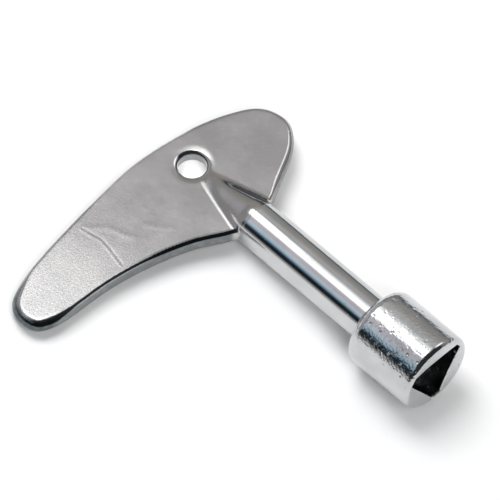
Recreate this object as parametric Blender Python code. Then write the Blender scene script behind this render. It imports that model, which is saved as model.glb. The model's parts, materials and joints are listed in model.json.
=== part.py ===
"""Triangular-socket bleed key: a die-cast wing handle, a round shank and a socket head.

The key's own frame has its axis along Y. The socket's mouth is at Y = 0 and faces -Y, the long wing
points to -X, the short wing to +X, and the plate lies about the XY plane. An empty then lays the whole
key on the ground (Z = 0) the way it comes to rest: on the head's shoulder, the boss and the long wing.
"""

import math

import bmesh
import bpy
from mathutils import Vector

MM = 0.001

# Clearance between pieces that are pressed and brazed together
FIT_GAP = 0.3 * MM

# Socket head, measured along the axis from its mouth
HEAD_RADIUS = 7.0 * MM
HEAD_LENGTH = 14.0 * MM
HEAD_RIM_ROUND = 0.95 * MM
HEAD_SHOULDER_ROUND = 1.7 * MM

# Blind triangular socket: the distance from the axis to its flats, and to its cut-off corners
SOCKET_INRADIUS = 3.65 * MM
SOCKET_CORNER_REACH = 5.8 * MM
SOCKET_DEPTH = 9.0 * MM

# Shank, with a double-D spigot in the head and a flat, tapering tang in the handle
SHANK_RADIUS = 4.0 * MM
SPIGOT_RADIUS = 2.4 * MM
SPIGOT_HALF_FLATS = 1.9 * MM
SPIGOT_LENGTH = 3.0 * MM
TANG_HALF_WIDTH = 1.6 * MM
TANG_ROOT_HALF_HEIGHT = 1.9 * MM
TANG_TIP_HALF_HEIGHT = 0.6 * MM
TANG_LENGTH = 6.5 * MM

# Boss: a short cylinder, then a cone that sinks into the plate
BOSS_FACE = 40.5 * MM
CONE_BASE = 41.6 * MM
CONE_APEX = 57.5 * MM
CONE_TIP_RADIUS = 0.2 * MM

# Plate
PLATE_HALF_THICKNESS = 1.5 * MM
PLATE_EDGE_INSET = 1.1 * MM
HOLE_STATION = 55.5 * MM
HOLE_RADIUS = 2.4 * MM
HOLE_RIM_ROUND = 0.5 * MM

# The plate's outline as (X, Y) in millimetres: out along the long wing's front edge, round both wings
# along the rear edge, and back along the short wing's front edge
OUTLINE_MM = [
    (0.0, 41.2),
    (-4.2, 41.3),
    (-10.4, 44.6),
    (-17.3, 47.0),
    (-24.7, 48.5),
    (-31.2, 49.0),
    (-36.4, 49.2),
    (-39.6, 51.0),
    (-40.2, 54.9),
    (-37.6, 58.1),
    (-30.0, 60.0),
    (-18.5, 61.5),
    (-6.5, 62.4),
    (5.0, 60.8),
    (12.6, 58.0),
    (16.4, 54.9),
    (17.3, 50.7),
    (14.5, 46.8),
    (9.5, 44.0),
    (4.2, 41.7),
]

# How the key lies: the socket end tilts up, and the long wing dips until its tip touches
REST_TILT = math.radians(5.85)
REST_ROLL = math.radians(1.35)

OUTLINE_STEPS = 6
ROUND_STEPS = 64
EDGE_STEPS = 5
RIM_STEPS = 4
SHARP_ANGLE = math.radians(35)


def clear_scene():
    for obj in list(bpy.data.objects):
        bpy.data.objects.remove(obj, do_unlink=True)


def plated_metal(name, colour, roughness):
    material = bpy.data.materials.new(name)
    material.use_nodes = True
    shader = material.node_tree.nodes["Principled BSDF"]
    shader.inputs["Base Color"].default_value = (*colour, 1.0)
    shader.inputs["Metallic"].default_value = 1.0
    shader.inputs["Roughness"].default_value = roughness
    return material


def object_from(bm, name):
    bmesh.ops.recalc_face_normals(bm, faces=bm.faces)
    mesh = bpy.data.meshes.new(name)
    bm.to_mesh(mesh)
    bm.free()
    mesh.shade_smooth()
    mesh.set_sharp_from_angle(angle=SHARP_ANGLE)
    obj = bpy.data.objects.new(name, mesh)
    bpy.context.scene.collection.objects.link(obj)
    return obj


def combine(target, helper, operation):
    """Adds a live Boolean and hides its second operand."""
    modifier = target.modifiers.new(helper.name, "BOOLEAN")
    modifier.operation = operation
    modifier.solver = "EXACT"
    modifier.object = helper
    helper.hide_render = True
    helper.display_type = "WIRE"
    helper.parent = target


def loft(name, rings):
    """A closed solid through rings of equal length, with a flat cap on the first and the last."""
    bm = bmesh.new()
    loops = [[bm.verts.new(point) for point in ring] for ring in rings]
    for lower, upper in zip(loops, loops[1:]):
        for i in range(len(lower)):
            j = (i + 1) % len(lower)
            bm.faces.new((lower[i], lower[j], upper[j], upper[i]))
    bm.faces.new(loops[0])
    bm.faces.new(loops[-1])
    return object_from(bm, name)


def turned(name, profile):
    """A solid of revolution about the Y axis through (station, radius) pairs."""
    angles = [2 * math.pi * k / ROUND_STEPS for k in range(ROUND_STEPS)]
    return loft(name, [[(r * math.cos(a), y, r * math.sin(a)) for a in angles] for y, r in profile])


def box_between(name, low, high):
    """A cuboid from its lowest corner to its highest."""
    corners = ((low[0], low[2]), (high[0], low[2]), (high[0], high[2]), (low[0], high[2]))
    return loft(name, [[(x, y, z) for x, z in corners] for y in (low[1], high[1])])


def quarter_round(radius, steps):
    """(fallen, travelled) pairs round a quarter circle, from its top to its side."""
    angles = [math.pi / 2 * k / steps for k in range(steps + 1)]
    return [(radius * (1 - math.cos(a)), radius * math.sin(a)) for a in angles]


def smooth_outline(points, steps):
    """A closed Catmull-Rom curve through the points."""
    curve = []
    for i in range(len(points)):
        p0, p1, p2, p3 = (Vector(points[(i + k) % len(points)]) for k in (-1, 0, 1, 2))
        for step in range(steps):
            t = step / steps
            bend = (2 * p0 - 5 * p1 + 4 * p2 - p3) * t**2 + (3 * p1 - p0 - 3 * p2 + p3) * t**3
            curve.append(p1 + ((p2 - p0) * t + bend) / 2)
    return curve


def inset(curve, distance):
    """The closed curve moved inwards by a distance; it runs clockwise seen from above."""
    moved = []
    for i, point in enumerate(curve):
        along = (curve[(i + 1) % len(curve)] - curve[i - 1]).normalized()
        moved.append(point + distance * Vector((along.y, -along.x)))
    return moved


def tang_sections(gap):
    """The tang's four-cornered sections at its root and tip, grown by a gap on every side."""
    width = TANG_HALF_WIDTH + gap
    sections = []
    for station, height in (
        (BOSS_FACE - gap, TANG_ROOT_HALF_HEIGHT + gap),
        (BOSS_FACE + TANG_LENGTH + gap, TANG_TIP_HALF_HEIGHT + gap),
    ):
        corners = ((-width, -height), (width, -height), (width, height), (-width, height))
        sections.append([(x, station, z) for x, z in corners])
    return sections


def make_wing_handle():
    """The cast handle: a flat plate with rounded edges, the boss, the tang's pocket and the hole."""
    curve = smooth_outline([(x * MM, y * MM) for x, y in OUTLINE_MM], OUTLINE_STEPS)
    upper = []
    for fallen, travelled in quarter_round(1.0, EDGE_STEPS):
        height = PLATE_HALF_THICKNESS * (1 - fallen)
        upper.append((PLATE_EDGE_INSET * (1 - travelled), height))
    lower = [(distance, -height) for distance, height in upper[-2::-1]]
    rings = [[(p.x, p.y, height) for p in inset(curve, distance)] for distance, height in upper + lower]
    handle = loft("wing_handle", rings)

    cone = [(BOSS_FACE, SHANK_RADIUS), (CONE_BASE, SHANK_RADIUS), (CONE_APEX, CONE_TIP_RADIUS)]
    combine(handle, turned("boss_cone", cone), "UNION")
    combine(handle, loft("tang_pocket", tang_sections(FIT_GAP)), "DIFFERENCE")
    combine(handle, make_hole_cutter(), "DIFFERENCE")
    return handle


def make_hole_cutter():
    """The hanging hole, flared where it meets both faces of the plate."""
    clear = 2 * PLATE_HALF_THICKNESS
    flare = []
    for fallen, travelled in quarter_round(HOLE_RIM_ROUND, RIM_STEPS):
        flare.append((HOLE_RADIUS + HOLE_RIM_ROUND - travelled, PLATE_HALF_THICKNESS - fallen))
    upper = [(flare[0][0], clear)] + flare
    lower = [(radius, -height) for radius, height in reversed(upper)]
    angles = [2 * math.pi * k / ROUND_STEPS for k in range(ROUND_STEPS)]
    rings = []
    for radius, height in upper + lower:
        rings.append([(radius * math.cos(a), HOLE_STATION + radius * math.sin(a), height) for a in angles])
    return loft("hanging_hole", rings)


def make_shank():
    """The round bar, with the double-D spigot at the head's end and the tang at the handle's."""
    shank = turned("shank", [(HEAD_LENGTH + FIT_GAP, SHANK_RADIUS), (BOSS_FACE - FIT_GAP, SHANK_RADIUS)])
    spigot_end = HEAD_LENGTH - SPIGOT_LENGTH
    overlap = HEAD_LENGTH + SHANK_RADIUS
    spigot = turned("spigot", [(spigot_end, SPIGOT_RADIUS), (overlap, SPIGOT_RADIUS)])
    combine(spigot, flats_block("spigot_flats", SPIGOT_HALF_FLATS, spigot_end, overlap), "INTERSECT")
    combine(shank, spigot, "UNION")

    root, tip = tang_sections(0.0)
    buried = [(x, y - SHANK_RADIUS, z) for x, y, z in root]
    combine(shank, loft("tang", [buried, root, tip]), "UNION")
    return shank


def flats_block(name, half_flats, start, end):
    """A block whose two level faces cut a round bar or bore down to a double D."""
    wide = 2 * SPIGOT_RADIUS
    clear = SHANK_RADIUS
    return box_between(name, (-wide, start - clear, -half_flats), (wide, end + clear, half_flats))


def make_socket_head():
    """The cup: rounded rim and shoulder, a blind triangular socket and a keyed bore behind it."""
    rim = [
        (fallen, HEAD_RADIUS - HEAD_RIM_ROUND + travelled)
        for fallen, travelled in quarter_round(HEAD_RIM_ROUND, RIM_STEPS)
    ]
    shoulder = [
        (HEAD_LENGTH - fallen, HEAD_RADIUS - HEAD_SHOULDER_ROUND + travelled)
        for fallen, travelled in quarter_round(HEAD_SHOULDER_ROUND, RIM_STEPS)
    ]
    head = turned("socket_head", rim + shoulder[::-1])
    combine(head, make_socket_cutter(), "DIFFERENCE")

    bore_floor = HEAD_LENGTH - SPIGOT_LENGTH - FIT_GAP
    beyond = HEAD_LENGTH + SHANK_RADIUS
    bore = turned("spigot_bore", [(bore_floor, SPIGOT_RADIUS + FIT_GAP), (beyond, SPIGOT_RADIUS + FIT_GAP)])
    flats = flats_block("bore_flats", SPIGOT_HALF_FLATS + FIT_GAP, bore_floor, beyond)
    combine(bore, flats, "INTERSECT")
    combine(head, bore, "DIFFERENCE")
    return head


def make_socket_cutter():
    """An equilateral triangle with its corners cut off square, one corner down towards -Z."""
    half_cut = (2 * SOCKET_INRADIUS - SOCKET_CORNER_REACH) * math.tan(math.radians(30))
    section = []
    for corner in range(3):
        towards = math.radians(-90 + 120 * corner)
        out = Vector((math.cos(towards), math.sin(towards)))
        side = Vector((-out.y, out.x))
        section.append(out * SOCKET_CORNER_REACH - side * half_cut)
        section.append(out * SOCKET_CORNER_REACH + side * half_cut)
    return loft("triangle_cutter", [[(p.x, y, p.y) for p in section] for y in (-HEAD_RADIUS, SOCKET_DEPTH)])


def lay_on_ground(pieces):
    """Parents the pieces to an empty that tilts them to rest, centred over the origin on Z = 0."""
    rest = bpy.data.objects.new("rest_pose", None)
    bpy.context.scene.collection.objects.link(rest)
    rest.rotation_euler = (-REST_TILT, -REST_ROLL, 0.0)
    for piece in pieces:
        piece.parent = rest
    bpy.context.view_layer.update()
    graph = bpy.context.evaluated_depsgraph_get()
    corners = []
    for piece in pieces:
        shown = piece.evaluated_get(graph)
        corners += [shown.matrix_world @ vertex.co for vertex in shown.data.vertices]
    low = Vector([min(corner[k] for corner in corners) for k in range(3)])
    high = Vector([max(corner[k] for corner in corners) for k in range(3)])
    rest.location = (-(low.x + high.x) / 2, -(low.y + high.y) / 2, -low.z)


def build():
    clear_scene()
    handle = make_wing_handle()
    handle.data.materials.append(plated_metal("satin_chrome", (0.62, 0.61, 0.61), 0.28))
    shank = make_shank()
    shank.data.materials.append(plated_metal("bright_chrome", (0.72, 0.72, 0.73), 0.12))
    head = make_socket_head()
    head.data.materials.append(plated_metal("rough_chrome", (0.66, 0.66, 0.67), 0.22))
    lay_on_ground([handle, shank, head])


build()
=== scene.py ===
"""Looks for the triangular-socket bleed key: fine plated-metal meshes, a pale studio and the camera.

The meshes are made in the key's own frame, in millimetres: the axis along Y from the socket's mouth at
Y = 0, the long wing towards -X, and the plate about the XY plane. The record's mounts say where that
frame lies. The handle and the head are signed distances in that frame, meshed finely, and the shank is
turned from a profile. Each is laid over its CAD node.
"""

import itertools
import json
import math

import bpy
import numpy as np
from mathutils import Matrix, Vector


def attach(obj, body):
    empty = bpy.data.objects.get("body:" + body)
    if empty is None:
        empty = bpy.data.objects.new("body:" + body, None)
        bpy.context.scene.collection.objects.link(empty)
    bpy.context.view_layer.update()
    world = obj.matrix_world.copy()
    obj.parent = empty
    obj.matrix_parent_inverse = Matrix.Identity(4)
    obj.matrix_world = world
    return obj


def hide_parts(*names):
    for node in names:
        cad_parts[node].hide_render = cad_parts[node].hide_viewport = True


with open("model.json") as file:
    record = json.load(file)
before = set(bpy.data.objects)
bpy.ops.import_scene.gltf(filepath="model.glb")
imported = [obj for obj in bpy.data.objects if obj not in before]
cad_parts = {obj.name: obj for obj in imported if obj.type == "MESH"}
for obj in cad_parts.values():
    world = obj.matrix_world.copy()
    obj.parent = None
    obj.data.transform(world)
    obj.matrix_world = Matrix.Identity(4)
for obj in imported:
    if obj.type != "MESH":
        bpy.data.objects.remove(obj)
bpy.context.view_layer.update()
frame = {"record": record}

MM = 0.001

# The same shape as the CAD, in millimetres
HEAD_RADIUS, HEAD_LENGTH = 7.0, 14.0
HEAD_RIM_ROUND, HEAD_SHOULDER_ROUND = 0.95, 1.7
SOCKET_INRADIUS, SOCKET_CORNER_REACH, SOCKET_DEPTH = 3.65, 5.8, 9.0
SHANK_RADIUS = 4.0
BOSS_FACE, CONE_BASE, CONE_APEX = 40.5, 41.6, 57.5
FIT_GAP = 0.3
PLATE_HALF_THICKNESS = 1.5
HOLE_STATION, HOLE_RADIUS = 55.5, 2.4
OUTLINE = [
    (0.0, 41.2), (-4.2, 41.3), (-10.4, 44.6), (-17.3, 47.0), (-24.7, 48.5), (-31.2, 49.0), (-36.4, 49.2),
    (-39.6, 51.0), (-40.2, 54.9), (-37.6, 58.1), (-30.0, 60.0), (-18.5, 61.5), (-6.5, 62.4), (5.0, 60.8),
    (12.6, 58.0), (16.4, 54.9), (17.3, 50.7), (14.5, 46.8), (9.5, 44.0), (4.2, 41.7),
]

# What only the fine meshes have: softer edges, the dished mouth and the casting's marks. A pair whose name
# ends in _FADE is where a feature is nothing and where it is full.
PLATE_EDGE_ROUND, TIP_EDGE_ROUND = 0.5, 1.6
TIP_ROUND_FADE = (-31.5, -37.5)
SHORT_WING_EXTRA_ROUND = 0.6
SHORT_WING_X_FADE, SHORT_WING_Y_FADE = (4.0, 8.0), (57.0, 52.0)
PARTING_ROUND = 0.2
EDGE_CHAMFER, CHAMFER_ROUND = 0.45, 0.06  # near the boss, where the edge is a chamfer and not a roll
ROLL_LEFT_FADE, ROLL_RIGHT_FADE = (-13.0, -25.0), (3.0, 8.0)
ROLLOVER_WIDTH, ROLLOVER_DROP, ROLLOVER_REACH = 1.0, 0.13, 1.5
ROLLOVER_LEAST = 0.1  # the share of the drop that is left near the boss
CONE_FILLET, CONE_SHOULDER_ROUND = 0.8, 0.25
HOLE_FLARE_RADIUS, HOLE_FLARE_DEPTH = 3.3, 0.24
HOLE_FLARE_BLEND, HOLE_RIM_ROUND = 0.6, 0.22
MOUTH_DISH, MOUTH_DISH_POWER, MOUTH_CREST_ROUND = 0.22, 0.8, 0.12
SOCKET_EDGE_ROUND, SOCKET_FLAT_ROUND, SOCKET_CORNER_ROUND, SOCKET_FLOOR_ROUND = 0.3, 0.25, 0.35, 0.5
SEAM_ROUND = 0.1
ROOT_START = [(-0.4, 4.75), (-0.02, 4.55)]  # where the shank's root begins, inside the head's back face
ROOT_FILLET, ROOT_FILLET_FROM, ROOT_FILLET_STEPS = 0.5, 0.15, 9
SHANK_LAP = 0.6  # how far the shank's plating runs on over the boss
PLAIN_BAR = (0.6, -0.1)  # from the head's back face, and from the shank's end
SHANK_END = [(0.0, 0.01), (0.1, 0.1)]  # how the end closes, as (past it, below the bar)
SHANK_RINGS, SHANK_ROUNDS = 110, 144
SKIN = 0.04  # the surface lies this far inside the CAD, so that its roughness stays inside too
SHANK_SKIN_LESS, HEAD_SIDE_SKIN_MORE = 0.006, 0.015  # the smooth bar needs less, the pitted barrel more
OUTLINE_SKIN = 0.11  # more at the outline, where the CAD's short chords cut its curve

# Random waves in the surfaces, as (height, wavelength, seed)
PLATE_WAVE, CAST_GRAIN = (0.010, 9.0, 3), (0.0015, 1.3, 11)
HEAD_WAVES = ((0.006, 2.1, 5), (0.006, 0.8, 6), (0.010, 0.31, 7))
HEAD_PITS = (0.15, 0.55, 8)
HEAD_PITS_ABOVE = 0.64  # only the noise's peaks are pits
HEAD_PITS_OUTSIDE = 6.0  # and only on the barrel

# Where each fine mesh is made, and its cells
HANDLE_LOW, HANDLE_HIGH, HANDLE_CELL = (-40.6, 39.8, -4.3), (18.0, 63.0, 4.3), 0.2
HEAD_LOW, HEAD_HIGH, HEAD_CELL = (-7.4, -0.4, -7.4), (7.4, 14.5, 7.4), 0.115
PLATE_LOW, PLATE_HIGH = (-42.0, 39.5), (19.0, 64.0)
OUTLINE_STEPS, EDGE_FIELD_CELL, CREASE_FIELD_CELL = 28, 0.15, 0.2
FIT_PASSES, LEAST_STEEPNESS = 4, 0.3
GRADIENT_STEP = 0.04

# Where the casting's flow left creases in the upper face, how wide and deep each is, and whether it is a
# step down towards +X or a low ridge
CREASES = [
    ([(-21.3, 58.8), (-20.6, 55.3), (-20.9, 53.2), (-21.6, 49.9)], 0.30, 0.017, True),
    ([(-20.8, 58.7), (-18.3, 56.4), (-17.2, 53.2), (-16.4, 52.1)], 0.6, -0.009, False),
    ([(-13.4, 52.3), (-12.2, 50.4), (-10.9, 48.9)], 0.6, -0.008, False),
]


# ---------------------------------------------------------------- distances in the key's frame


def smooth_least(a, b, radius):
    """The lesser of two distances, with a fillet of about that radius where they meet."""
    blend = np.maximum(radius - np.abs(a - b), 0.0) / radius
    return np.minimum(a, b) - blend * blend * radius / 4


def smooth_most(a, b, radius):
    """The greater of two distances, rounded off in the same way."""
    return -smooth_least(-a, -b, radius)


def smoothstep(low, high, x):
    """A smooth rise from 0 to 1 between two places, or a fall when the second is the lower."""
    t = np.clip((x - low) / (high - low), 0.0, 1.0)
    return t * t * (3 - 2 * t)


def rounded_corner(a, b, radius):
    """The distance to the corner of two half-spaces, with an exact round of that radius."""
    a, b = a + radius, b + radius
    return np.minimum(np.maximum(a, b), 0.0) + np.hypot(np.maximum(a, 0.0), np.maximum(b, 0.0)) - radius


LATTICE_PRIMES, SEED_PRIME = (73856093, 19349663, 83492791), 2654435761
SCRAMBLES = ((13, 1274126177), (15, 974711))  # each shift and factor
LOW_BITS = 0x7FFFFFFF


def lattice_noise(points, wavelength, seed):
    """Smooth random values from -1 to 1, the same for each seed."""
    x_prime, y_prime, z_prime = LATTICE_PRIMES
    scaled = points / wavelength
    cell = np.floor(scaled).astype(np.int64)
    t = scaled - cell
    t = t * t * t * (t * (t * 6 - 15) + 10)
    total = np.zeros(len(points))
    for corner in itertools.product((0, 1), repeat=3):
        at = cell + np.array(corner)
        x, y, z = at.T
        mixed = (x * x_prime) ^ (y * y_prime) ^ (z * z_prime) ^ (seed * SEED_PRIME)
        for shift, factor in SCRAMBLES:
            mixed = ((mixed ^ (mixed >> shift)) * factor) & LOW_BITS
        weight = np.prod(np.where(np.array(corner) == 1, t, 1 - t), axis=1)
        total += weight * (mixed / (LOW_BITS // 2) - 1)
    return total


def smooth_closed(points, steps):
    """A closed Catmull-Rom curve through the points."""
    p = np.array(points, float)
    before, after, beyond = np.roll(p, 1, 0), np.roll(p, -1, 0), np.roll(p, -2, 0)
    curve = []
    for t in np.arange(steps) / steps:
        bend = (2 * before - 5 * p + 4 * after - beyond) * t**2
        bend = bend + (3 * p - before - 3 * after + beyond) * t**3
        curve.append(p + ((after - before) * t + bend) / 2)
    return np.stack(curve, 1).reshape(-1, 2)


def line_distance(points, line, closed=False):
    """The distance in the plane to a polyline; a closed one counts as negative inside."""
    ends = np.roll(line, -1, 0) if closed else line[1:]
    starts = line if closed else line[:-1]
    nearest = np.full(len(points), np.inf)
    inside = np.zeros(len(points), bool)
    for a, b in zip(starts, ends):
        along, off = b - a, points - a
        t = np.clip(off @ along / (along @ along), 0.0, 1.0)
        nearest = np.minimum(nearest, ((off - t[:, None] * along) ** 2).sum(1))
        if closed and a[1] != b[1]:
            spans = (a[1] > points[:, 1]) != (b[1] > points[:, 1])
            inside ^= spans & (points[:, 0] < a[0] + (points[:, 1] - a[1]) * along[0] / along[1])
    return np.sqrt(nearest) * np.where(inside, -1.0, 1.0)


class PlaneField:
    """Values on a fine grid in the plate's plane, read back smoothly anywhere."""

    def __init__(self, function, low, high, cell):
        self.low, self.cell = np.array(low, float), cell
        self.shape = tuple(int(math.ceil((h - l) / cell)) + 1 for l, h in zip(low, high))
        axes = [l + cell * np.arange(n) for l, n in zip(low, self.shape)]
        grid = np.stack(np.meshgrid(*axes, indexing="ij"), -1).reshape(-1, 2)
        self.values = function(grid).reshape(self.shape)

    def __call__(self, x, y):
        at = [(x - self.low[0]) / self.cell, (y - self.low[1]) / self.cell]
        base = [np.clip(np.floor(a).astype(int), 1, n - 3) for a, n in zip(at, self.shape)]
        total = 0.0
        weights = []
        for a, b in zip(at, base):
            t = np.clip(a - b, -1.0, 2.0)
            weights.append((
                (-t + 2 * t**2 - t**3) / 2,
                (2 - 5 * t**2 + 3 * t**3) / 2,
                (t + 4 * t**2 - 3 * t**3) / 2,
                (-(t**2) + t**3) / 2,
            ))
        for i, j in itertools.product(range(4), repeat=2):
            total = total + weights[0][i] * weights[1][j] * self.values[base[0] + i - 1, base[1] + j - 1]
        return total


def crease_heights(points):
    """How far the flow marks lift the plate's upper face."""
    total = np.zeros(len(points))
    for line, width, depth, stepped in CREASES:
        line = np.array(line, float)
        off = line_distance(points, line) / width
        side = np.sign(points[:, 0] - np.interp(points[:, 1], line[::-1, 1], line[::-1, 0]))
        total -= depth * np.exp(-(off**2)) * (off * side if stepped else 1.0)
    return total


def outline_distance(points):
    """The distance to the plate's outline, negative inside."""
    return line_distance(points, smooth_closed(OUTLINE, OUTLINE_STEPS), closed=True)


edge_field = PlaneField(outline_distance, PLATE_LOW, PLATE_HIGH, EDGE_FIELD_CELL)
crease_field = PlaneField(crease_heights, PLATE_LOW, PLATE_HIGH, CREASE_FIELD_CELL)


def wave(p, height, wavelength, seed):
    return height * lattice_noise(p, wavelength, seed)


def handle_distance(p, fine=True):
    """The cast handle: rounded plate, boss and cone, and the flared hole."""
    x, y, z = p.T
    edge = edge_field(x, y)
    height = PLATE_HALF_THICKNESS - SKIN
    if fine:
        height = height + np.where(z > 0, crease_field(x, y), 0.0)
        height = height + wave(p, *PLATE_WAVE)
    rolled = np.maximum(smoothstep(*ROLL_LEFT_FADE, x), smoothstep(*ROLL_RIGHT_FADE, x))
    drop = ROLLOVER_DROP * (ROLLOVER_LEAST + (1 - ROLLOVER_LEAST) * rolled)
    height = height - drop * np.clip(1 + edge / ROLLOVER_WIDTH, 0.0, ROLLOVER_REACH) ** 2
    corner = PLATE_EDGE_ROUND + (TIP_EDGE_ROUND - PLATE_EDGE_ROUND) * smoothstep(*TIP_ROUND_FADE, x)
    short_wing = smoothstep(*SHORT_WING_X_FADE, x) * smoothstep(*SHORT_WING_Y_FADE, y)
    corner = corner + SHORT_WING_EXTRA_ROUND * short_wing
    plate = rounded_corner(edge + OUTLINE_SKIN, np.hypot(z, PARTING_ROUND) - height, corner)
    chamfer = (edge + OUTLINE_SKIN + np.abs(z) - height + EDGE_CHAMFER * (1 - rolled)) / math.sqrt(2)
    plate = smooth_most(plate, chamfer, CHAMFER_ROUND)

    across = np.hypot(x, z)
    slope = SHANK_RADIUS / (CONE_APEX - CONE_BASE)
    cone = (across - (CONE_APEX - y) * slope) / math.hypot(1.0, slope)
    boss = smooth_most(cone, across - SHANK_RADIUS + SKIN, CONE_SHOULDER_ROUND)
    boss = rounded_corner(boss, BOSS_FACE - FIT_GAP - y, SEAM_ROUND)
    solid = smooth_least(plate, boss, CONE_FILLET)

    from_hole = np.hypot(x, y - HOLE_STATION)
    bore = from_hole - HOLE_RADIUS
    flare_slope = HOLE_FLARE_DEPTH / (HOLE_FLARE_RADIUS - HOLE_RADIUS)
    sunk = (HOLE_FLARE_RADIUS - from_hole) * flare_slope
    flare = (PLATE_HALF_THICKNESS - sunk - np.abs(z)) / math.hypot(1.0, flare_slope)
    flare = np.maximum(flare, from_hole - HOLE_FLARE_RADIUS - HOLE_FLARE_BLEND)
    solid = smooth_most(solid, -smooth_least(bore, flare, HOLE_FLARE_BLEND), HOLE_RIM_ROUND)
    if fine:
        solid = solid + wave(p, *CAST_GRAIN)
    return solid


def head_distance(p, fine=True):
    """The socket head: rounded rim and shoulder, dished mouth, and the triangular pocket."""
    x, y, z = p.T
    across = np.hypot(x, z)
    middle = HEAD_LENGTH / 2
    radius = np.where(y < middle, HEAD_RIM_ROUND, HEAD_SHOULDER_ROUND)
    side = across - HEAD_RADIUS + SKIN + HEAD_SIDE_SKIN_MORE
    body = rounded_corner(np.abs(y - middle) - middle + SKIN, side, radius)
    crest = HEAD_RADIUS - HEAD_RIM_ROUND
    dish = MOUTH_DISH * np.clip(1 - (across / crest) ** 2, 0.0, 1.0) ** MOUTH_DISH_POWER
    body = smooth_most(body, np.where(across < crest, SKIN + dish - y, -HEAD_LENGTH), MOUTH_CREST_ROUND)

    for corner in range(3):
        out = math.radians(-90 + 120 * corner)
        flat = -(x * math.cos(out) + z * math.sin(out)) - SOCKET_INRADIUS
        cut = x * math.cos(out) + z * math.sin(out) - SOCKET_CORNER_REACH
        pocket = smooth_most(pocket, flat, SOCKET_FLAT_ROUND) if corner else flat
        pocket = smooth_most(pocket, cut, SOCKET_CORNER_ROUND)
    pocket = smooth_most(pocket, y - SOCKET_DEPTH, SOCKET_FLOOR_ROUND)
    solid = smooth_most(body, -pocket, SOCKET_EDGE_ROUND)
    if fine:
        for head_wave in HEAD_WAVES:
            solid = solid + wave(p, *head_wave)
        depth, wavelength, seed = HEAD_PITS
        peaks = np.maximum(lattice_noise(p, wavelength, seed) - HEAD_PITS_ABOVE, 0.0)
        solid = solid + depth * peaks * (across > HEAD_PITS_OUTSIDE)
    return solid


# ---------------------------------------------------------------- meshing


def normals_of(distance, points):
    """The outward directions at points near a surface, and how steeply the distance grows there."""
    gradient = np.empty_like(points)
    for k in range(3):
        shift = np.zeros(3)
        shift[k] = GRADIENT_STEP
        gradient[:, k] = distance(points + shift) - distance(points - shift)
    length = np.linalg.norm(gradient, axis=1, keepdims=True)
    return gradient / np.maximum(length, 1e-9), length[:, 0] / (2 * GRADIENT_STEP)


def surface_of(distance, low, high, cell):
    """Points on a distance's zero surface, and the quads between them: surface nets, then a fine fit."""
    axes = [np.arange(l, h + cell, cell) for l, h in zip(low, high)]
    shape = tuple(len(a) for a in axes)
    values = np.empty(shape)
    plane = np.stack(np.meshgrid(axes[1], axes[2], indexing="ij"), -1).reshape(-1, 2)
    for i, x in enumerate(axes[0]):
        points = np.column_stack([np.full(len(plane), x), plane])
        values[i] = distance(points, fine=False).reshape(shape[1:])
    inside = values < 0

    corners = list(itertools.product((0, 1), repeat=3))
    count = sum(inside[a : shape[0] - 1 + a, b : shape[1] - 1 + b, c : shape[2] - 1 + c].astype(int)
                for a, b, c in corners)
    cells = np.argwhere((count > 0) & (count < 8))
    index = np.full(tuple(n - 1 for n in shape), -1)
    index[tuple(cells.T)] = np.arange(len(cells))

    place, crossings = np.zeros((len(cells), 3)), np.zeros(len(cells))
    for a, b in itertools.combinations(corners, 2):
        if sum(abs(i - j) for i, j in zip(a, b)) != 1:
            continue
        at_a, at_b = values[tuple((cells + a).T)], values[tuple((cells + b).T)]
        crosses = (at_a < 0) != (at_b < 0)
        t = np.where(crosses, at_a / np.where(crosses, at_a - at_b, 1.0), 0.0)
        spot = np.array(a) + t[:, None] * (np.array(b) - np.array(a))
        place += np.where(crosses[:, None], spot, 0.0)
        crossings += crosses
    points = np.array([a[0] for a in axes]) + (cells + place / crossings[:, None]) * cell

    quads = []
    for k in range(3):
        u, v = (k + 1) % 3, (k + 2) % 3
        here = np.moveaxis(inside, k, 0)
        changes = np.moveaxis(here[:-1] != here[1:], 0, k)
        spots = np.argwhere(changes)
        spots = spots[(spots[:, u] > 0) & (spots[:, v] > 0)]
        spots = spots[(spots[:, u] < shape[u] - 1) & (spots[:, v] < shape[v] - 1)]
        ring = []
        for du, dv in ((0, 0), (1, 0), (1, 1), (0, 1)):
            near = spots.copy()
            near[:, u] -= du
            near[:, v] -= dv
            ring.append(index[tuple(near.T)])
        quad = np.stack(ring, 1)
        flips = ~inside[tuple(spots.T)]
        quad[flips] = quad[flips][:, ::-1]
        quads.append(quad)

    for _ in range(FIT_PASSES):
        normal, steepness = normals_of(distance, points)
        off = distance(points) / np.maximum(steepness, LEAST_STEEPNESS)
        points = points - normal * np.clip(off, -cell, cell)[:, None]
    return points, np.concatenate(quads)


def turned_surface(profile, rounds):
    """Points and quads of an open surface of revolution about Y, through (station, radius) pairs."""
    angles = 2 * np.pi * np.arange(rounds) / rounds
    points = np.array([(r * math.sin(a), y, r * math.cos(a)) for y, r in profile for a in angles])
    row = np.arange(rounds)
    beside = (row + 1) % rounds
    quads = [np.stack([i * rounds + row, i * rounds + beside, (i + 1) * rounds + beside,
                       (i + 1) * rounds + row], 1) for i in range(len(profile) - 1)]
    return points, np.concatenate(quads)


# ---------------------------------------------------------------- from the key's frame to the row frame

mounts = {m["name"]: m for m in frame["record"]["mounts"]}
key_y = -Vector(mounts["socket_mouth"]["axis"]).normalized()
key_z = Vector(mounts["handle_top_face"]["axis"])
key_z = (key_z - key_z.dot(key_y) * key_y).normalized()
key_x = key_y.cross(key_z)
MOUTH_MOUNT_HEIGHT = 4.9  # the mount on the mouth's rim is this far above the key's axis, in mm
key_origin = Vector(mounts["socket_mouth"]["pos_m"]) - MOUTH_MOUNT_HEIGHT * MM * key_z
key_axes = Matrix((key_x, key_y, key_z)).transposed()


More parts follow.
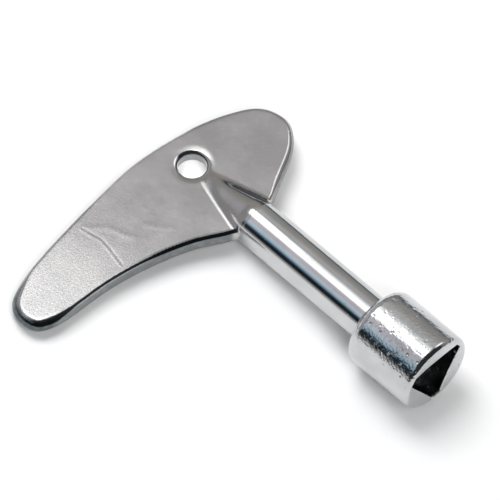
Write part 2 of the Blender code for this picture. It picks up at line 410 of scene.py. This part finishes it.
def to_row(point_mm):
    """A place in the key's frame as a place in the row frame."""
    return key_origin + key_axes @ (Vector(point_mm) * MM)


def make_piece(name, node, points, quads, normals, wear, painted_shade, material):
    """A smooth mesh in place of a CAD node. Its own coordinates in mm, its wear and its painted shade
    are kept as attributes for the material."""
    axes = np.array(key_axes)
    world = np.array(key_origin) + points * MM @ axes.T
    mesh = bpy.data.meshes.new(name)
    mesh.vertices.add(len(world))
    mesh.vertices.foreach_set("co", world.astype(np.float32).ravel())
    mesh.loops.add(quads.size)
    mesh.loops.foreach_set("vertex_index", quads.astype(np.int32).ravel())
    mesh.polygons.add(len(quads))
    mesh.polygons.foreach_set("loop_start", np.arange(0, quads.size, 4, dtype=np.int32))
    mesh.update(calc_edges=True)
    mesh.validate()
    mesh.shade_smooth()
    own = mesh.attributes.new("key_mm", "FLOAT_VECTOR", "POINT")
    own.data.foreach_set("vector", points.astype(np.float32).ravel())
    # The second attribute is painted shade, which the material uses to darken the colour
    for label, values in (("wear", wear), ("painted_shade", painted_shade)):
        attribute = mesh.attributes.new(label, "FLOAT", "POINT")
        attribute.data.foreach_set("value", values.astype(np.float32))
    mesh.normals_split_custom_set_from_vertices((normals @ axes.T).tolist())
    mesh.materials.append(material)
    piece = bpy.data.objects.new(name, mesh)
    bpy.context.scene.collection.objects.link(piece)
    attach(piece, "root")
    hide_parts(node)
    return piece


# ---------------------------------------------------------------- materials


class Nodes:
    """Short ways to make and join shader nodes."""

    def __init__(self, tree):
        self.tree = tree

    def make(self, kind, inputs=None, **settings):
        node = self.tree.nodes.new(kind)
        for name, value in settings.items():
            setattr(node, name, value)
        for name, value in (inputs or {}).items():
            if isinstance(value, bpy.types.NodeSocket):
                self.tree.links.new(value, node.inputs[name])
            else:
                node.inputs[name].default_value = value
        return node

    def math(self, operation, a, b=0.0, c=0.0, clamp=False):
        node = self.make("ShaderNodeMath", {0: a, 1: b, 2: c}, operation=operation, use_clamp=clamp)
        return node.outputs[0]

    def noise(self, at, scale, detail=2.0, roughness=0.5):
        inputs = {"Vector": at, "Scale": scale, "Detail": detail, "Roughness": roughness, "Distortion": 0.0}
        return self.make("ShaderNodeTexNoise", inputs).outputs["Fac"]

    def spread(self, value, low, high, to_low=0.0, to_high=1.0, smooth=True):
        kind = "SMOOTHSTEP" if smooth else "LINEAR"
        inputs = {"Value": value, "From Min": low, "From Max": high, "To Min": to_low, "To Max": to_high}
        return self.make("ShaderNodeMapRange", inputs, interpolation_type=kind).outputs["Result"]

    def mix(self, share, a, b):
        """A colour between two others. A mix node's colour sockets are its inputs 6 and 7 and output 2."""
        a, b = ((*colour, 1.0) if isinstance(colour, tuple) else colour for colour in (a, b))
        return self.make("ShaderNodeMix", {0: share, 6: a, 7: b}, data_type="RGBA").outputs[2]

    def stretch(self, at, scale):
        return self.make("ShaderNodeVectorMath", {0: at, 1: scale}, operation="MULTIPLY").outputs[0]


# The plating's layers: noise scales are per mm, and shares and strengths are from 0 to 1
CLOUDS_SCALE, MOTTLES_SCALE, FROST_SCALE, PIT_PATCHES_SCALE = 0.16, 0.9, 3.6, 0.35
PIT_CELLS_SCALE, SPECK_CELLS_SCALE = 0.85, 0.24
FINE_AGAINST_PEEL = 3.2  # how much finer the fine grain is than the orange peel
PIT_PATCHES_FADE, SPECK_FADE = (0.45, 0.66), (0.065, 0.03)
LEAST_PIT = 0.001
WHITE, FROSTED = (1.0, 1.0, 1.0), (0.16, 0.155, 0.16)
PITTED, SPECKED = (0.09, 0.09, 0.10), (0.93, 0.93, 0.93)
MOTTLED_SHARE, PITTED_SHARE, SPECKED_SHARE, WORN_SHARE = 0.25, 0.65, 0.5, 0.35
# Painted shade: a dark colour for the shade that the metal mirrors on its side wall, tip and bore
PAINTED_SHADE_SHARE, PAINTED_SHADE_COLOUR = 0.93, (0.05, 0.073, 0.077)
# Painted highlight: the first fade is where the long wing's tip turns paler
TIP_HIGHLIGHT_FADE, TIP_COARSE_FADE = (-18.0, -29.0), (-14.0, -34.0)  # along the long wing, in mm
FROST_AWAY_FROM_TIP = 0.55
LINES_ROUGHEN, PITS_ROUGHEN = 0.06, 0.35
FINE_LIFT, DRAWN_LIFT, PIT_LIFT, SPECK_LIFT = 0.25, 0.2, -3.0, 1.5  # against the orange peel's lift of 1


def plated_metal(name, bright, dull, rough, rough_worn, grain, grain_size, pits, lines, uneven=0.22,
                 frost=0.0, tip_painted_highlight=0.0, coarse_tip=1.0):
    """Chrome over a casting or bar: orange peel, frost, pits, specks, fine lines, painted shade and polished
    edges. The tip of the long wing can be paler, which is a painted highlight, and coarser."""
    material = bpy.data.materials.new(name)
    material.use_nodes = True
    tree = material.node_tree
    tree.nodes.clear()
    n = Nodes(tree)
    at = n.make("ShaderNodeAttribute", attribute_name="key_mm").outputs["Vector"]
    wear = n.make("ShaderNodeAttribute", attribute_name="wear").outputs["Fac"]
    painted_shade = n.make("ShaderNodeAttribute", attribute_name="painted_shade").outputs["Fac"]

    cloudy = n.noise(at, CLOUDS_SCALE, 3.0, 0.55)
    mottled = n.noise(at, MOTTLES_SCALE, 4.0, 0.6)
    peel = n.noise(at, 1.0 / grain_size, 2.0, 0.5)
    fine = n.noise(at, FINE_AGAINST_PEEL / grain_size, 3.0, 0.6)
    drawn = n.noise(n.stretch(at, lines), 1.0, 3.0, 0.6)
    along_wing = n.make("ShaderNodeSeparateXYZ", {"Vector": at}).outputs["X"]

    cells = {"Vector": at, "Scale": PIT_CELLS_SCALE, "Randomness": 1.0}
    from_pit = n.make("ShaderNodeTexVoronoi", cells).outputs["Distance"]
    patches = n.noise(at, PIT_PATCHES_SCALE, 2.0)
    pit_size = n.math("MAXIMUM", n.spread(patches, *PIT_PATCHES_FADE, 0.0, pits, smooth=False), LEAST_PIT)
    pit = n.math("SUBTRACT", 1.0, n.math("DIVIDE", from_pit, pit_size), clamp=True)
    pit = n.spread(pit, 0.0, 0.6)
    cells = {"Vector": at, "Scale": SPECK_CELLS_SCALE, "Randomness": 1.0}
    speck = n.spread(n.make("ShaderNodeTexVoronoi", cells).outputs["Distance"], *SPECK_FADE)

    colour = n.mix(n.spread(cloudy, 0.3, 0.7), dull, bright)
    colour = n.mix(n.math("MULTIPLY", n.spread(mottled, 0.5, 0.8), MOTTLED_SHARE), colour, dull)
    # Painted highlight: the long wing's tip is paler, for the brighter light that its curve mirrors
    colour = n.mix(n.spread(along_wing, *TIP_HIGHLIGHT_FADE, 0.0, tip_painted_highlight), colour, WHITE)
    frosting = n.spread(n.noise(at, FROST_SCALE, 2.0, 0.6), 0.32, 0.68, 0.0, frost, smooth=False)
    towards_tip = n.spread(along_wing, *TIP_COARSE_FADE, FROST_AWAY_FROM_TIP, 1.0)
    colour = n.mix(n.math("MULTIPLY", frosting, towards_tip), colour, FROSTED)
    colour = n.mix(n.math("MULTIPLY", pit, PITTED_SHARE), colour, PITTED)
    colour = n.mix(n.math("MULTIPLY", speck, SPECKED_SHARE), colour, SPECKED)
    colour = n.mix(n.math("MULTIPLY", wear, WORN_SHARE), colour, bright)
    # Painted shade: the colour goes dark where the mesh's shade attribute is high, for the shade mirrored
    # there
    mottled_painted_shade = n.math("MULTIPLY", painted_shade, n.spread(mottled, 0.2, 0.6, 0.75, 1.0))
    colour = n.mix(n.math("MULTIPLY", mottled_painted_shade, PAINTED_SHADE_SHARE), colour, PAINTED_SHADE_COLOUR)

    varied = n.spread(mottled, 0.25, 0.75, rough * (1 - uneven), rough * (1 + uneven), smooth=False)
    lined = n.math("MULTIPLY_ADD", n.spread(drawn, 0.55, 0.75), LINES_ROUGHEN, varied)
    unworn = n.math("ADD", lined, n.math("MULTIPLY", pit, PITS_ROUGHEN))
    polish = n.math("MULTIPLY", n.math("SUBTRACT", unworn, rough_worn), n.spread(wear, 0.1, 0.9))
    roughness = n.math("SUBTRACT", unworn, polish, clamp=True)

    height = peel
    for layer, lift in ((fine, FINE_LIFT), (drawn, DRAWN_LIFT), (pit, PIT_LIFT), (speck, SPECK_LIFT)):
        height = n.math("MULTIPLY_ADD", layer, lift, height)
    coarseness = n.spread(along_wing, *TIP_COARSE_FADE, grain, grain * coarse_tip)
    height = n.math("MULTIPLY", height, coarseness)
    bump = n.make("ShaderNodeBump", {"Height": height, "Strength": 1.0, "Distance": MM})

    shader = n.make("ShaderNodeBsdfPrincipled", {
        "Base Color": colour, "Metallic": 1.0, "Roughness": roughness, "Normal": bump.outputs["Normal"]})
    output = n.make("ShaderNodeOutputMaterial", {"Surface": shader.outputs[0]})
    output.is_active_output = True
    return material


plate_metal = plated_metal(
    "satin_chrome_casting", bright=(0.575, 0.560, 0.557), dull=(0.49, 0.478, 0.48),
    rough=0.21, rough_worn=0.12, grain=0.006, grain_size=0.30, pits=0.0, lines=(0.4, 0.4, 0.4),
    uneven=0.05, frost=0.26, tip_painted_highlight=0.29, coarse_tip=1.9)
shank_metal = plated_metal(
    "bright_chrome_bar", bright=(0.60, 0.605, 0.61), dull=(0.54, 0.545, 0.55),
    rough=0.11, rough_worn=0.08, grain=0.0015, grain_size=0.8, pits=0.08, lines=(3.0, 0.06, 3.0))
head_metal = plated_metal(
    "rough_chrome_socket", bright=(0.60, 0.605, 0.61), dull=(0.50, 0.505, 0.51),
    rough=0.10, rough_worn=0.09, grain=0.014, grain_size=0.24, pits=0.26, lines=(2.0, 0.15, 2.0))


# ---------------------------------------------------------------- pieces


# Where the handle is worn bright, by the distance from the outline, from the hole's axis and from the
# plate's middle plane
WORN_EDGE_FADE = (-0.9, -0.4)
WORN_HOLE_FADE = (HOLE_FLARE_RADIUS, HOLE_FLARE_RADIUS - 0.2)
WORN_RISE_FADE = (PLATE_HALF_THICKNESS + 0.05, PLATE_HALF_THICKNESS + 0.6)
# Where shade is painted on it, and how much: its side wall clear of the shank, the rim of the tip, the
# chamfer left of the boss, the cone's right flank and the hole's bore, where the metal mirrors shade
WALL_PAINTED_SHADE, WALL_EDGE_FADE, WALL_RISE_FADE = 0.78, (-0.55, -0.25), (1.2, 0.9)
CLEAR_OF_SHANK_FADE = (SHANK_RADIUS + 0.2, SHANK_RADIUS + 1.0)
TIP_EDGE_FADE, TIP_FADE = (-1.5, -0.6), (-32.0, -37.5)
FRONT_FADE = (58.0, 55.0)
CHAMFER_PAINTED_SHADE, CHAMFER_EDGE_FADE, CHAMFER_FLOOR = 0.9, (-0.95, -0.7), 0.9
CHAMFER_LEFT_FADE, CHAMFER_RIGHT_FADE = (-24.0, -15.0), (-3.5, -4.5)
FLANK_PAINTED_SHADE, FLANK_TILT_FADE, FLANK_RISE_FADE, FLANK_X_FADE = 0.8, (0.25, 0.45), (0.05, 0.3), (0.3, 0.8)
BORE_PAINTED_SHADE, BORE_RISE_FADE = 0.7, (1.5, 1.2)
BORE_FADE = (HOLE_RADIUS + 0.2, HOLE_RADIUS + 0.05)


def make_handle():
    """The casting, with its worn places and its painted shade."""
    points, quads = surface_of(handle_distance, HANDLE_LOW, HANDLE_HIGH, HANDLE_CELL)
    normals, _ = normals_of(handle_distance, points)
    x, y, z = points.T
    edge, from_hole = edge_field(x, y), np.hypot(x, y - HOLE_STATION)
    wear = np.maximum.reduce([
        smoothstep(*WORN_EDGE_FADE, edge),
        smoothstep(*WORN_HOLE_FADE, from_hole),
        smoothstep(*WORN_RISE_FADE, np.abs(z)),
    ])
    wall = WALL_PAINTED_SHADE * smoothstep(*WALL_EDGE_FADE, edge) * smoothstep(*WALL_RISE_FADE, np.abs(z))
    wall = wall * smoothstep(*CLEAR_OF_SHANK_FADE, np.abs(x))
    at_tip = smoothstep(*TIP_EDGE_FADE, edge) * smoothstep(*TIP_FADE, x)
    chamfer = CHAMFER_PAINTED_SHADE * smoothstep(*CHAMFER_LEFT_FADE, x) * smoothstep(*CHAMFER_RIGHT_FADE, x)
    chamfer = chamfer * smoothstep(*FRONT_FADE, y) * smoothstep(*CHAMFER_EDGE_FADE, edge)
    chamfer = chamfer * (np.abs(z) > CHAMFER_FLOOR)
    flank = FLANK_PAINTED_SHADE * smoothstep(*FLANK_TILT_FADE, normals[:, 0]) * smoothstep(*FRONT_FADE, y)
    flank = flank * smoothstep(*FLANK_RISE_FADE, z - PLATE_HALF_THICKNESS) * smoothstep(*FLANK_X_FADE, x)
    bore = BORE_PAINTED_SHADE * smoothstep(*BORE_FADE, from_hole) * smoothstep(*BORE_RISE_FADE, z)
    # Painted shade: the strongest of these masks, where the metal mirrors the floor's shadow or the dark
    # room
    painted_shade = np.maximum.reduce([wall, at_tip, chamfer, flank, bore])
    return make_piece("wing_handle_cast", "wing_handle", points, quads, normals, wear,
                      painted_shade, plate_metal)


ROOT_WEAR_REACH = 1.5


def make_shank():
    """The bar, turned from a profile. A small fillet brings it out of the head, and it ends on the boss."""
    start, end = HEAD_LENGTH, BOSS_FACE - FIT_GAP + SHANK_LAP
    bar = SHANK_RADIUS - SKIN + SHANK_SKIN_LESS
    angles = np.linspace(ROOT_FILLET_FROM, math.pi / 2, ROOT_FILLET_STEPS)
    stations = np.linspace(start + PLAIN_BAR[0], end + PLAIN_BAR[1], SHANK_RINGS)
    profile = [(start + station, radius) for station, radius in ROOT_START]
    profile += [(start + ROOT_FILLET * (1 - math.cos(a)), SHANK_RADIUS + ROOT_FILLET * (1 - math.sin(a)))
                for a in angles]
    profile += [(station, bar) for station in stations]
    profile += [(end + past, bar - below) for past, below in SHANK_END]
    points, quads = turned_surface(profile, SHANK_ROUNDS)
    radial = points * np.array([1.0, 0.0, 1.0])
    radial /= np.linalg.norm(radial, axis=1, keepdims=True)
    rise = np.gradient(np.array([r for _, r in profile]), np.array([s for s, _ in profile]))
    normals = radial - np.array([0.0, 1.0, 0.0]) * np.repeat(rise, SHANK_ROUNDS)[:, None]
    normals /= np.linalg.norm(normals, axis=1, keepdims=True)
    wear = smoothstep(start + ROOT_WEAR_REACH, start, points[:, 1])
    return make_piece("shank_bar", "shank", points, quads, normals, wear, np.zeros_like(wear),
                      shank_metal)


WORN_RIM_RADIUS, WORN_RIM_WIDTH, WORN_RIM_FADE = 6.3, 0.6, (1.0, 0.2)


def make_head():
    """The socket head, worn bright around its mouth."""
    points, quads = surface_of(head_distance, HEAD_LOW, HEAD_HIGH, HEAD_CELL)
    normals, _ = normals_of(head_distance, points)
    across = np.hypot(points[:, 0], points[:, 2])
    wear = np.exp(-(((across - WORN_RIM_RADIUS) / WORN_RIM_WIDTH) ** 2))
    wear = wear * smoothstep(*WORN_RIM_FADE, points[:, 1])
    return make_piece("socket_head_cup", "socket_head", points, quads, normals, wear,
                      np.zeros_like(wear), head_metal)


make_handle()
make_shank()
make_head()


# ---------------------------------------------------------------- studio

FLOOR_HALF_SIZE, FLOOR_MOTTLES_SCALE, FLOOR_SHADES = 3.0, 14.0, ((0.88, 0.88, 0.88), (0.90, 0.90, 0.90))
SOFTBOX_HEIGHT, SOFTBOX_STRENGTH = 0.30, 3.2
# Each panel's fades along X and then along Y, as (metres, share of the strength). The shank and the head
# mirror the first, the plate mirrors the second, and all of them mirror the third, off to the right.
SOFTBOXES = {
    "barrel_softbox": (
        ((-0.09, 0.0), (-0.065, 0.25), (-0.035, 1.0), (0.02, 1.0), (0.055, 0.42), (0.09, 0.24), (0.18, 0.0)),
        ((0.03, 0.0), (0.06, 1.0), (0.155, 1.0), (0.18, 0.0))),
    "plate_softbox": (
        ((-0.075, 0.0), (-0.05, 1.0), (0.08, 1.0), (0.108, 0.78), (0.119, 0.12), (0.127, 0.0)),
        ((0.155, 0.0), (0.18, 0.7), (0.225, 0.7), (0.26, 0.0))),
    "side_softbox": (
        ((0.12, 0.0), (0.143, 0.06), (0.162, 0.21), (0.22, 0.13), (0.34, 0.05), (0.45, 0.0)),
        ((0.03, 0.0), (0.05, 1.0), (0.115, 1.0), (0.15, 0.62), (0.21, 0.62), (0.25, 0.0))),
}
WASHES = (((0.1, 0.7, 1.4), 12.4), ((-0.5, -0.8, 1.3), 11.9))  # each place and power
WASH_SIZE = 0.9
HOLE_LIGHT_DISTANCE, HOLE_LIGHT_RADIUS_MM = 0.35, 3.1
HOLE_LIGHT_POWER, HOLE_LIGHT_SIZE, HOLE_LIGHT_BLEND = 4.0, 0.002, 0.3

# The room's colours by elevation in degrees
LEFT_WALL = [
    (-10, (0.75, 0.75, 0.75)), (0, (0.66, 0.66, 0.66)), (6, (0.36, 0.37, 0.37)),
    (12, (0.012, 0.014, 0.016)), (23, (0.008, 0.014, 0.022)), (28, (0.09, 0.18, 0.25)),
    (34, (0.50, 0.66, 0.80)), (42, (0.74, 0.82, 0.90)), (50, (0.72, 0.70, 0.75)),
    (60, (0.78, 0.75, 0.79)), (90, (0.50, 0.50, 0.50)),
]
RIGHT_WALL = [
    (-10, (0.07, 0.10, 0.12)), (4, (0.06, 0.09, 0.12)), (11, (0.34, 0.34, 0.33)),
    (33, (0.42, 0.40, 0.37)), (41, (0.38, 0.37, 0.36)), (52, (0.27, 0.27, 0.27)),
    (90, (0.30, 0.30, 0.30)),
]
BACK_WALL = [
    (-10, (0.60, 0.60, 0.60)), (5, (0.38, 0.38, 0.38)), (42, (0.36, 0.37, 0.38)),
    (52, (0.42, 0.43, 0.44)), (90, (0.42, 0.42, 0.42)),
]
# Where each part of the room begins and is full, by the parts of a direction of length 1
BACK_Y_FADE, BACK_X_FADE, RIGHT_X_FADE = (0.48, 0.56), (-0.15, 0.1), (0.2, 0.45)
PALE_BACK, PALE_BACK_SHARE = (0.62, 0.62, 0.64), 0.85
PALE_BACK_Y_FADE, PALE_BACK_Z_FADE = (0.78, 0.86), (0.1, 0.3)
SHADE = (0.035, 0.04, 0.045)
SHADE_X_FADE, SHADE_Y_FADE, SHADE_Z_FADE = (0.80, 0.55), (0.10, -0.20), (0.0, 0.12)
CAMERA_SHADE_FADE = (0.70, 0.93)  # by the cosine of the angle from the camera
WINDOW_TOWARDS, WINDOW_FADE, WINDOW = (0.64, 0.03, 0.77), (0.965, 0.985), (1.8, 1.8, 1.8)
BACKDROP = (0.95, 0.95, 0.95)


def stage_surface(name, vertices, material):
    """A four-cornered surface of the studio."""
    mesh = bpy.data.meshes.new(name)
    mesh.from_pydata(vertices, [], [(0, 1, 2, 3)])
    mesh.materials.append(material)
    surface = bpy.data.objects.new(name, mesh)
    bpy.context.scene.collection.objects.link(surface)
    return surface


def make_floor():
    """A plain, pale, matt floor."""
    material = bpy.data.materials.new("pale_sweep")
    material.use_nodes = True
    n = Nodes(material.node_tree)
    shader = material.node_tree.nodes["Principled BSDF"]
    at = n.make("ShaderNodeTexCoord").outputs["Object"]
    shade = n.mix(n.noise(at, FLOOR_MOTTLES_SCALE, 3.0), *FLOOR_SHADES)
    material.node_tree.links.new(shade, shader.inputs["Base Color"])
    shader.inputs["Roughness"].default_value = 0.9
    shader.inputs["Specular IOR Level"].default_value = 0.1
    s = FLOOR_HALF_SIZE
    stage_surface("studio_floor", [(-s, -s, 0), (s, -s, 0), (s, s, 0), (-s, s, 0)], material)


def make_softbox(name, x_fade, y_fade):
    """A lit panel level above the key and behind it, which the camera doesn't see. Its light fades towards
    its sides and adds to the room's."""
    material = bpy.data.materials.new(name + "_cloth")
    material.use_nodes = True
    tree = material.node_tree
    tree.nodes.clear()
    n = Nodes(tree)
    at = n.make("ShaderNodeSeparateXYZ", {"Vector": n.make("ShaderNodeTexCoord").outputs["Object"]})
    glow = SOFTBOX_STRENGTH
    for axis, stops in ((0, x_fade), (1, y_fade)):
        low, high = stops[0][0], stops[-1][0]
        share = n.spread(at.outputs[axis], low, high, smooth=False)
        fade = n.make("ShaderNodeValToRGB", {"Fac": share})
        set_stops(fade, [((place - low) / (high - low), (level,) * 3) for place, level in stops])
        glow = n.math("MULTIPLY", glow, fade.outputs["Color"])
    light = n.make("ShaderNodeEmission", {"Color": (1.0, 1.0, 1.0, 1.0), "Strength": glow})
    clear = n.make("ShaderNodeBsdfTransparent")
    both = n.make("ShaderNodeAddShader", {0: light.outputs[0], 1: clear.outputs[0]})
    n.make("ShaderNodeOutputMaterial", {"Surface": both.outputs[0]})
    (x0, x1), (y0, y1) = ((stops[0][0], stops[-1][0]) for stops in (x_fade, y_fade))
    h = SOFTBOX_HEIGHT
    panel = stage_surface(name, [(x0, y0, h), (x0, y1, h), (x1, y1, h), (x1, y0, h)], material)
    panel.visible_camera = False
    panel.visible_shadow = False


def set_stops(node, stops):
    """Gives a colour ramp its (position, (red, green, blue)) stops."""
    node.color_ramp.interpolation = "EASE"
    elements = node.color_ramp.elements
    while len(elements) < len(stops):
        elements.new(0.5)
    for element, (position, colour) in zip(elements, stops):
        element.position = position
        element.color = (*colour, 1.0)


def aimed(obj, place, target):
    """Puts a light at a place, facing a target."""
    back = (place - target).normalized()
    obj.matrix_world = Matrix.Translation(place) @ back.to_track_quat("Z", "Y").to_matrix().to_4x4()


def make_floor_lights():
    """Lights that the metal doesn't mirror, for the floor: two wide ones from behind and in front, and a
    narrow one that shines through the hanging hole from the camera's side."""
    lights = []
    for place, power in WASHES:
        wide = bpy.data.lights.new("floor_wash", "AREA")
        wide.shape, wide.size, wide.energy = "SQUARE", WASH_SIZE, power
        lights.append((wide, Vector(place), Vector((0.0, 0.0, 0.0))))
    narrow = bpy.data.lights.new("hole_light", "SPOT")
    narrow.energy, narrow.shadow_soft_size = HOLE_LIGHT_POWER, HOLE_LIGHT_SIZE
    narrow.spot_size = 2 * math.atan(HOLE_LIGHT_RADIUS_MM * MM / HOLE_LIGHT_DISTANCE)
    narrow.spot_blend = HOLE_LIGHT_BLEND
    hole = to_row((0.0, HOLE_STATION, 0.0))
    lights.append((narrow, hole + view_directions()[2] * HOLE_LIGHT_DISTANCE, hole))
    for data, place, target in lights:
        light = bpy.data.objects.new(data.name, data)
        bpy.context.scene.collection.objects.link(light)
        aimed(light, place, target)
        light.visible_camera = False
        light.visible_glossy = False


def ramp(n, elevation, stops):
    """A colour by elevation, whose stops are (degrees, (red, green, blue))."""
    node = n.make("ShaderNodeValToRGB", {"Fac": n.math("MULTIPLY_ADD", elevation, 1 / 180, 0.5)})
    set_stops(node, [(degrees / 180 + 0.5, colour) for degrees, colour in stops])
    return node.outputs["Color"]


def alignment(n, direction, towards):
    """The cosine of the angle between a direction and a fixed one."""
    inputs = {0: direction, 1: tuple(Vector(towards).normalized())}
    return n.make("ShaderNodeVectorMath", inputs, operation="DOT_PRODUCT").outputs["Value"]


def make_studio():
    """The room's light by direction: a left wall that is dark low down and bluish above, a grey back, a warm
    grey right wall, shade in front and around the camera, and one window. The camera itself sees an even,
    almost white backdrop."""
    world = bpy.data.worlds.new("soft_studio")
    world.use_nodes = True
    tree = world.node_tree
    tree.nodes.clear()
    n = Nodes(tree)
    direction = n.make("ShaderNodeTexCoord").outputs["Generated"]
    x, y, z = n.make("ShaderNodeSeparateXYZ", {"Vector": direction}).outputs
    elevation = n.math("MULTIPLY", n.math("ARCSINE", z), 180 / math.pi)
    left, right, back = (ramp(n, elevation, wall) for wall in (LEFT_WALL, RIGHT_WALL, BACK_WALL))

    to_back = n.math("MAXIMUM", n.spread(y, *BACK_Y_FADE), n.spread(x, *BACK_X_FADE))
    room = n.mix(to_back, left, back)
    room = n.mix(n.spread(x, *RIGHT_X_FADE), room, right)
    pale = n.math("MULTIPLY", n.spread(y, *PALE_BACK_Y_FADE), n.spread(z, *PALE_BACK_Z_FADE))
    room = n.mix(n.math("MULTIPLY", pale, PALE_BACK_SHARE), room, PALE_BACK)

    near_camera = n.spread(alignment(n, direction, view_directions()[2]), *CAMERA_SHADE_FADE)
    in_front = n.math("MULTIPLY", n.spread(y, *SHADE_Y_FADE), n.spread(z, *SHADE_Z_FADE))
    in_front = n.math("MULTIPLY", in_front, n.spread(x, *SHADE_X_FADE))
    room = n.mix(n.math("MAXIMUM", near_camera, in_front), room, SHADE)
    lit = n.mix(n.spread(alignment(n, direction, WINDOW_TOWARDS), *WINDOW_FADE), room, WINDOW)
    lit = n.mix(n.make("ShaderNodeLightPath").outputs["Is Camera Ray"], lit, BACKDROP)
    background = n.make("ShaderNodeBackground", {"Color": lit, "Strength": 1.0})
    n.make("ShaderNodeOutputWorld", {"Surface": background.outputs[0]})
    bpy.context.scene.world = world


# ---------------------------------------------------------------- camera

CAMERA_AZIMUTH, CAMERA_ELEVATION, CAMERA_ROLL = -53.1, 59.33, 9.87
CAMERA_DISTANCE, CAMERA_LENS, CAMERA_SENSOR = 2.0, 900.0, 36.0
CAMERA_CLIP = (0.01, 20.0)
AIM_STATION, AIM_RIGHT, AIM_UP = 30.0, -8.63, 2.12  # mm: a point on the key's axis, then shifts in the view


def view_directions():
    """The view's right, up and back in the row frame."""
    a, e, roll = (math.radians(v) for v in (CAMERA_AZIMUTH, CAMERA_ELEVATION, CAMERA_ROLL))
    back = Vector((math.sin(a) * math.cos(e), -math.cos(a) * math.cos(e), math.sin(e)))
    level = Vector((0, 0, 1)).cross(back).normalized()
    upright = back.cross(level)
    right = level * math.cos(roll) + upright * math.sin(roll)
    return right, back.cross(right), back


def make_camera():
    """The camera at the photograph's angle."""
    right, up, back = view_directions()
    aim = to_row((0.0, AIM_STATION, 0.0)) + (AIM_RIGHT * right + AIM_UP * up) * MM
    data = bpy.data.cameras.new("photo_view")
    data.lens, data.sensor_width = CAMERA_LENS, CAMERA_SENSOR
    data.clip_start, data.clip_end = CAMERA_CLIP
    camera = bpy.data.objects.new("photo_view", data)
    turn = Matrix((right, up, back)).transposed()
    camera.matrix_world = Matrix.Translation(aim + back * CAMERA_DISTANCE) @ turn.to_4x4()
    bpy.context.scene.collection.objects.link(camera)
    bpy.context.scene.camera = camera


make_floor()
for panel_name, fades in SOFTBOXES.items():
    make_softbox(panel_name, *fades)
make_floor_lights()
make_studio()
make_camera()
bpy.context.scene.view_settings.view_transform = "Standard"
